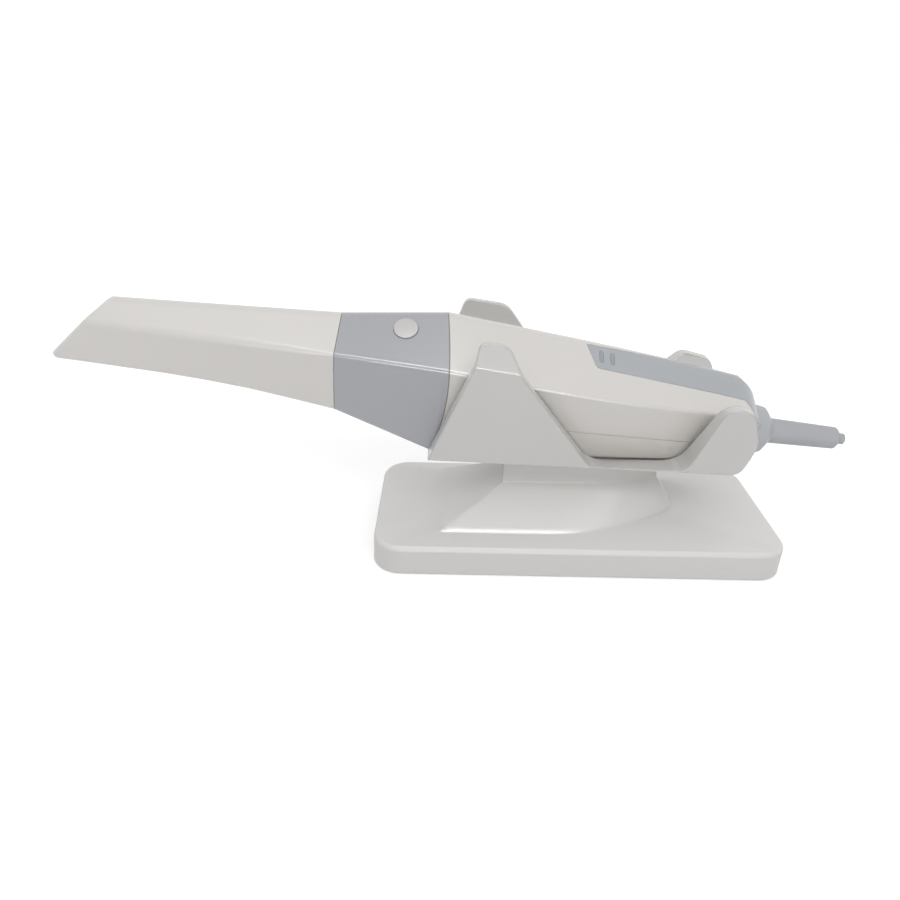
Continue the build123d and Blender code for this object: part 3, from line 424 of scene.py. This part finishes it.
def sidePoints(look, along, toe, rim, inner):
    # one side of the section from its rim to the middle. Below the crease its half is a straight line from
    # foot to crease; above the crease it is creaseHalf - (level - crease) tan(lean). Rows stop at the rim
    crease = look["creaseLevel"] + look["creaseRise"] * along
    foot = look["footLevel"] + look["footRise"] * along + toe
    floor = look["keelLevel"] + look["keelRise"] * along
    keel = floor + toe
    footHalf = np.full_like(along, look["footHalf"])
    creaseHalf, lean, least = look["creaseHalf"], look["lean"], look["leastRim"]
    if inner:
        crease = crease - look["innerDrop"]
        creaseHalf, lean, least = creaseHalf - look["wall"], look["innerLean"], least / 2
        foot = keel = np.maximum(floor + look["floorWall"], keel + least)
        footHalf = look["floorHalf"] - look["floorNarrowing"] * along
    rim = np.maximum(rim, foot + least)
    elbow = np.minimum(rim, crease)
    upper = elbow[:, None] + (rim - elbow)[:, None] * np.linspace(1, 0, look["upperRows"])
    lower = foot[:, None] + (elbow - foot)[:, None] * np.linspace(1, 0, look["lowerRows"] + 1)[1:]
    level = np.hstack([upper, lower])
    share = (level - foot[:, None]) / (crease - foot)[:, None]
    lowerHalf = footHalf[:, None] + (creaseHalf - footHalf)[:, None] * share
    upperHalf = creaseHalf - (level - crease[:, None]) * math.tan(math.radians(lean))
    half = np.where(level > crease[:, None], upperHalf, lowerHalf)
    keelHalf = np.minimum(look["keelHalf"], footHalf)[:, None] * np.array([1.0, 0.5])
    level = np.hstack([level, np.repeat(keel[:, None], 2, axis=1)])
    return np.hstack([half, keelHalf]), level


def troughPoints(look, along, rims):
    # the outer skin from the near rim to the far one and the inner skin back, for each place along. The toe
    # lifts the underside at the lead's end: radius - sqrt(radius^2 - distance^2)
    radius = look["toeRadius"]
    inToe = np.clip(along - (along[-1] - radius), 0, radius)
    toe = radius - np.sqrt(radius ** 2 - inToe ** 2)
    skins = []
    for inner in (False, True):
        near, far = (sidePoints(look, along, toe, np.interp(along, *rim.T), inner) for rim in rims)
        half = np.hstack([-near[0], far[0][:, ::-1]])
        level = np.hstack([near[1], far[1][:, ::-1]])
        skins.append((half, level))
    across = np.hstack([skins[0][0], skins[1][0][:, ::-1]])
    level = np.hstack([skins[0][1], skins[1][1][:, ::-1]])
    turn = math.radians(look["tilt"])
    x = look["seat"][0] + along[:, None] * math.cos(turn) + level * math.sin(turn)
    z = look["seat"][1] - along[:, None] * math.sin(turn) + level * math.cos(turn)
    return np.stack([x, across, z], axis=-1)


def endFaces(rows, columns):
    # the two ends: each pair of outer points is joined to the inner pair across the wall
    column = np.arange(columns // 2 - 1)
    faces = []
    for row in (0, rows - 1):
        a = row * columns + column
        b = row * columns + columns - 1 - column
        faces.append(np.stack([a, a + 1, b - 1, b], axis=-1))
    return np.vstack(faces)


def postPoints(look, spot):
    # a screw post: a ring of (bore, wall) and (bottom, top) corners carried round an upright line
    radius = np.array([look["postBore"], look["postRadius"], look["postRadius"], look["postBore"]])
    height = np.array([look["postBottom"], look["postBottom"], look["postTop"], look["postTop"]])
    turn = np.linspace(0, 2 * np.pi, look["postSides"] + 1)[:-1, None]
    ring = np.stack([spot + radius * np.cos(turn), radius * np.sin(turn), height + 0 * turn], axis=-1)
    return np.vstack([ring, ring[:1]])


def makeCradle():
    # the trough and its two screw posts, as one moulding
    look = cradleLook
    rims = [roundedLine(look[side], look["cornerPoints"]) for side in ("nearRim", "farRim")]
    steps = np.arange(rims[0][0, 0], rims[0][-1, 0], look["alongStep"])
    along = np.unique(np.concatenate([rims[0][:, 0], rims[1][:, 0], steps]).round(3))
    trough = troughPoints(look, along, rims)
    rows, columns = trough.shape[:2]
    points = [trough.reshape(-1, 3)]
    faces = [loopFaces(rows, columns, 0), endFaces(rows, columns)]
    for spot in look["postSpots"]:
        post = postPoints(look, spot)
        faces.append(loopFaces(*post.shape[:2], sum(len(p) for p in points)))
        points.append(post.reshape(-1, 3))
    cradle = meshPiece("cradleMoulding", np.vstack(points), np.vstack(faces), look)
    cradle.data.materials.append(materials["cradleAbs"])
    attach(cradle, "stand")
    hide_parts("cradle")


makeCradle()
print("cradle made")


# the sky is dimmer at its edge than overhead, as a room with a lit ceiling is; the floor is pale paper whose
# fibre is in mm, and floorLift is what rays that look at it see on top, so that it is white there
studio = dict(
    floorSize=6.0, floorPale="f4f4f4", floorDeep="f0f0f0", fibre=40.0, floorLift=0.30,
    skyTone="ffffff", skyEdge=0.36, skyTop=1.04, background=1.0,
)
white = linear("ffffff")


def seenRay(tree):
    # 1 for the rays that look at a thing: straight from the camera, off a glossy face or through glass
    path = addNode(tree, "ShaderNodeLightPath")
    either = addNode(
        tree, "ShaderNodeMath", links={0: path.outputs["Is Camera Ray"], 1: path.outputs["Is Glossy Ray"]},
        operation="MAXIMUM",
    )
    return addNode(
        tree, "ShaderNodeMath", links={0: either.outputs[0], 1: path.outputs["Is Transmission Ray"]},
        operation="MAXIMUM",
    )


def makeFloor():
    # a flat square grid: x and y run evenly from edge to edge, z is nought
    half = studio["floorSize"] / 2
    across = np.linspace(-half, half, 5)
    x, y = np.meshgrid(across, across)
    points = np.column_stack([x.ravel(), y.ravel(), np.zeros(x.size)])
    index = np.arange(x.size).reshape(x.shape)
    corners = np.stack([index[:-1, :-1], index[:-1, 1:], index[1:, 1:], index[1:, :-1]], axis=-1)
    mesh = bpy.data.meshes.new("floor")
    mesh.from_pydata(points.tolist(), [], corners.reshape(-1, 4).tolist())
    floor = bpy.data.objects.new("floor", mesh)
    bpy.context.scene.collection.objects.link(floor)
    material, tree, place = newMaterial("floorPaper")
    tone = addNode(
        tree, "ShaderNodeMix", {"A": linear(studio["floorDeep"]), "B": linear(studio["floorPale"])},
        {"Factor": noise(tree, place, studio["fibre"], 2.0).outputs["Fac"]}, data_type="RGBA",
    )
    paper = addNode(tree, "ShaderNodeBsdfDiffuse", links={"Color": tone.outputs["Result"]})
    seen = addNode(
        tree, "ShaderNodeMath", {1: studio["floorLift"]}, {0: seenRay(tree).outputs[0]}, operation="MULTIPLY",
    )
    lift = addNode(tree, "ShaderNodeEmission", {"Color": white}, {"Strength": seen.outputs[0]})
    both = addNode(tree, "ShaderNodeAddShader", links={0: paper.outputs[0], 1: lift.outputs[0]})
    finishMaterial(tree, both)
    mesh.materials.append(material)
    floor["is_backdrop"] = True


def makeWorld():
    # diffuse light grows from skyEdge at the horizon to skyTop overhead, in line with the sine of the height
    world = bpy.data.worlds.new("studio")
    bpy.context.scene.world = world
    world.use_nodes = True
    tree = world.node_tree
    tree.nodes.clear()
    aim = addNode(tree, "ShaderNodeTexCoord").outputs["Generated"]
    height = addNode(tree, "ShaderNodeSeparateXYZ", links={"Vector": aim})
    level = addNode(
        tree, "ShaderNodeMapRange", {"To Min": studio["skyEdge"], "To Max": studio["skyTop"]},
        {"Value": height.outputs["Z"]},
    )
    light = addNode(
        tree, "ShaderNodeBackground", {"Color": linear(studio["skyTone"])},
        {"Strength": level.outputs["Result"]},
    )
    seen = addNode(tree, "ShaderNodeBackground", {"Color": white, "Strength": studio["background"]})
    mix = addNode(
        tree, "ShaderNodeMixShader",
        links={0: seenRay(tree).outputs[0], 1: light.outputs[0], 2: seen.outputs[0]},
    )
    addNode(tree, "ShaderNodeOutputWorld", links={"Surface": mix.outputs[0]})


# spot is where a lamp stands and aim what it looks at, in metres; a lamp that isn't lighting only glints
lamps = {
    "softPanel": dict(
        spot=(0.0, -0.87, 1.03), aim=(0.0, 0.0, 0.07), width=1.5, depth=0.4, power=3.7, lighting=True,
    ),
    "glintStrip": dict(
        spot=(0.0, -0.26, 1.23), aim=(0.0, 0.0, 0.07), width=0.66, depth=0.14, power=9.5, lighting=False,
    ),
    "frontStrip": dict(
        spot=(0.0, -0.95, 0.10), aim=(0.0, 0.0, 0.07), width=0.80, depth=0.16, power=10.0, lighting=False,
    ),
}


def makeLamps():
    # area lamps, each turned to what it looks at
    for name, look in lamps.items():
        light = bpy.data.lights.new(name, "AREA")
        light.shape = "RECTANGLE"
        light.size, light.size_y = look["width"], look["depth"]
        light.energy = look["power"]
        lamp = bpy.data.objects.new(name, light)
        bpy.context.scene.collection.objects.link(lamp)
        lamp.location = look["spot"]
        lamp.rotation_mode = "QUATERNION"
        lamp.rotation_quaternion = (Vector(look["aim"]) - Vector(look["spot"])).to_track_quat("-Z", "Y")
        lamp.visible_diffuse = look["lighting"]


# the photograph's own camera: place in metres, turns in degrees, focal length in pixels of a 900 pixel frame
cameraLook = dict(
    place=(-0.0503, -0.2261, 0.1653), pitch=29.74, yaw=0.12, roll=1.2,
    focal=661.3, frame=900, sensor=36.0, near=0.01, far=20.0,
)


def makeCamera():
    # ahead follows from yaw and pitch, and right and up are turned about it by the roll
    pitch, yaw, roll = (math.radians(cameraLook[k]) for k in ("pitch", "yaw", "roll"))
    ahead = Vector((math.sin(yaw) * math.cos(pitch), math.cos(yaw) * math.cos(pitch), -math.sin(pitch)))
    side = Vector((math.cos(yaw), -math.sin(yaw), 0))
    above = side.cross(ahead)
    right = side * math.cos(roll) + above * math.sin(roll)
    up = above * math.cos(roll) - side * math.sin(roll)
    data = bpy.data.cameras.new("camera")
    data.sensor_width = cameraLook["sensor"]
    data.lens = cameraLook["focal"] / cameraLook["frame"] * cameraLook["sensor"]
    data.clip_start, data.clip_end = cameraLook["near"], cameraLook["far"]
    camera = bpy.data.objects.new("camera", data)
    bpy.context.scene.collection.objects.link(camera)
    turn = Matrix((right, up, -ahead)).transposed().to_4x4()
    camera.matrix_world = Matrix.Translation(cameraLook["place"]) @ turn
    bpy.context.scene.camera = camera


makeFloor()
makeWorld()
makeLamps()
makeCamera()
bpy.context.scene.view_settings.view_transform = "Standard"
print("floor, world, lamps and camera made")

low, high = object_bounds()
sizes |= {"dressedLow": list(low), "dressedHigh": list(high)}
